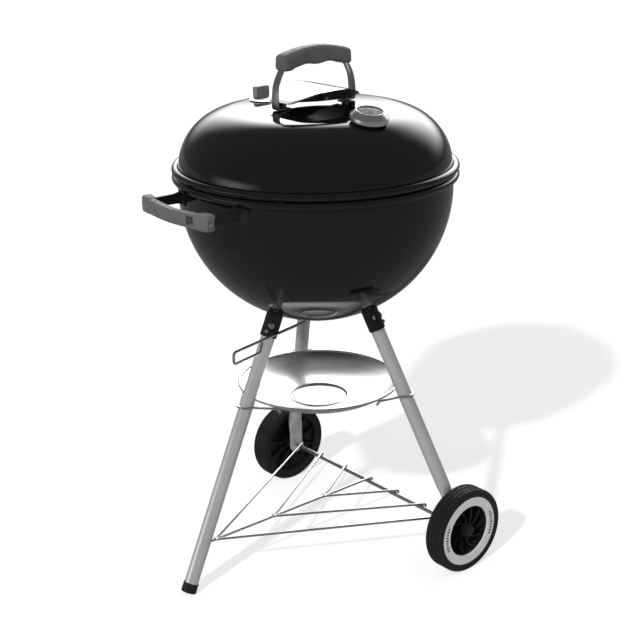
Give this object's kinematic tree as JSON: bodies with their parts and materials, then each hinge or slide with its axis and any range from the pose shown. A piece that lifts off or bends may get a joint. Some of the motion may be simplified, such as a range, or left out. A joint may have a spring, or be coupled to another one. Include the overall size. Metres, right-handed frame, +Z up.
{
  "type": "kettle charcoal grill",
  "caption": "Kettle charcoal grill: enamelled bowl and domed lid with damper and thermometer, ash sweep and pan, on a tripod stand with two wheels and a wire rack.",
  "frame": {"origin": "middle of the footprint at floor level", "axes": "+Z up; the single front leg and the side handle are towards -Y, the axle runs along X behind the bowl, the bowl's axis stands 34.5 mm towards +Y"},
  "size_m": [0.524, 0.549, 0.9],
  "materials": {
    "enamel": "gloss porcelain enamel",
    "black_metal": "satin black",
    "leg_aluminium": "drawn, satin",
    "sheet_aluminium": "spun, satin",
    "bright_sheet": "polished",
    "strap_metal": "satin",
    "case_steel": "brushed",
    "wire_chrome": "plated",
    "grate_steel": "plain",
    "fastener_steel": "zinc plated",
    "grip_plastic": "fine grained",
    "black_plastic": "moulded",
    "tyre_plastic": "moulded tread",
    "white_plastic": "satin",
    "dial_face": "satin",
    "needle_black": "satin",
    "lens_glass": "clear"
  },
  "bodies": {
    "stand": {"bowl": "enamel", "grate_tabs": "black_metal", "socket_front": "black_metal", "socket_left": "black_metal", "socket_right": "black_metal", "socket_screws": "fastener_steel", "leg_front": "leg_aluminium", "leg_left": "leg_aluminium", "leg_right": "leg_aluminium", "foot_cap": "black_plastic", "axle": "fastener_steel", "axle_washers": "fastener_steel", "push_nuts": "fastener_steel", "bottom_rack": "wire_chrome", "pan_clip_front": "wire_chrome", "pan_clip_left": "wire_chrome", "pan_clip_right": "wire_chrome", "handle_arms": "black_metal", "side_grip": "grip_plastic", "side_grip_screws": "fastener_steel"},
    "lid": {"lid_shell": "enamel", "lid_strap": "strap_metal", "lid_grip": "grip_plastic", "heat_shield": "bright_sheet", "lid_nuts": "fastener_steel", "lid_hook": "wire_chrome", "thermo_case": "case_steel", "thermo_dial": "dial_face", "thermo_lens": "lens_glass", "thermo_stem": "fastener_steel", "thermo_nut": "fastener_steel", "damper_rivet": "fastener_steel"},
    "damper": {"damper_disc": "sheet_aluminium", "damper_tab": "grip_plastic"},
    "needle": {"thermo_needle": "needle_black"},
    "ash_sweep": {"sweep_blades": "grate_steel", "sweep_shaft": "fastener_steel", "sweep_lever": "wire_chrome", "sweep_nut": "fastener_steel"},
    "wheel_left": {"wheel_left": "black_plastic", "tyre_left": "tyre_plastic", "whitewall_left": "white_plastic", "hub_cap_left": "black_plastic"},
    "wheel_right": {"wheel_right": "black_plastic", "tyre_right": "tyre_plastic", "whitewall_right": "white_plastic", "hub_cap_right": "black_plastic"},
    "ash_pan": {"ash_pan": "sheet_aluminium"},
    "charcoal_grate": {"charcoal_grate": "grate_steel", "charcoal_ring": "grate_steel"},
    "cooking_grate": {"cooking_grate": "wire_chrome", "cooking_ring": "wire_chrome", "grate_handles": "wire_chrome"},
    "button_front": {"button_front": "fastener_steel", "button_spring_front": "fastener_steel"},
    "button_left": {"button_left": "fastener_steel", "button_spring_left": "fastener_steel"},
    "button_right": {"button_right": "fastener_steel", "button_spring_right": "fastener_steel"}
  },
  "joints": [
    {"name": "lid_lift", "type": "slide", "parent": "stand", "child": "lid", "axis": [0, 0, 1], "range_m": [0, 0.3]},
    {"name": "damper_turn", "type": "hinge", "parent": "lid", "child": "damper", "pos_m": [-0.09581, 0.02848, 0.80143], "axis": [-0.0479, -0.003, 0.9988], "range_deg": [0, 45]},
    {"name": "needle_turn", "type": "hinge", "parent": "lid", "child": "needle", "pos_m": [0.14921, 0.02014, 0.79741], "axis": [-0.1899, 0.0183, -0.9816], "range_deg": [0, 250]},
    {"name": "sweep_turn", "type": "hinge", "parent": "stand", "child": "ash_sweep", "pos_m": [0, 0.03451, 0.434], "axis": [0, 0, 1], "range_deg": [0, 80]},
    {"name": "wheel_left_spin", "type": "hinge", "parent": "stand", "child": "wheel_left", "pos_m": [-0.244, 0.15451, 0.076], "axis": [1, 0, 0], "continuous": true},
    {"name": "wheel_right_spin", "type": "hinge", "parent": "stand", "child": "wheel_right", "pos_m": [0.244, 0.15451, 0.076], "axis": [1, 0, 0], "continuous": true},
    {"name": "cooking_grate_lift", "type": "slide", "parent": "stand", "child": "cooking_grate", "axis": [0, 0, 1], "range_m": [0, 0.015]},
    {"name": "charcoal_grate_lift", "type": "slide", "parent": "stand", "child": "charcoal_grate", "axis": [0, 0, 1], "range_m": [0, 0.1]},
    {"name": "ash_pan_lift", "type": "slide", "parent": "stand", "child": "ash_pan", "axis": [0, 0, 1], "range_m": [0, 0.003]},
    {"name": "button_front_press", "type": "slide", "parent": "stand", "child": "button_front", "axis": [0.5, -0.7912, 0.3522], "range_m": [-0.003, 0], "stiffness_N_per_m": 600, "springref_m": 0.001},
    {"name": "button_left_press", "type": "slide", "parent": "stand", "child": "button_left", "axis": [-0.9333, -0.0701, 0.3522], "range_m": [-0.003, 0], "stiffness_N_per_m": 600, "springref_m": 0.001},
    {"name": "button_right_press", "type": "slide", "parent": "stand", "child": "button_right", "axis": [0.4638, 0.8129, 0.3522], "range_m": [-0.003, 0], "stiffness_N_per_m": 600, "springref_m": 0.001}
  ]
}
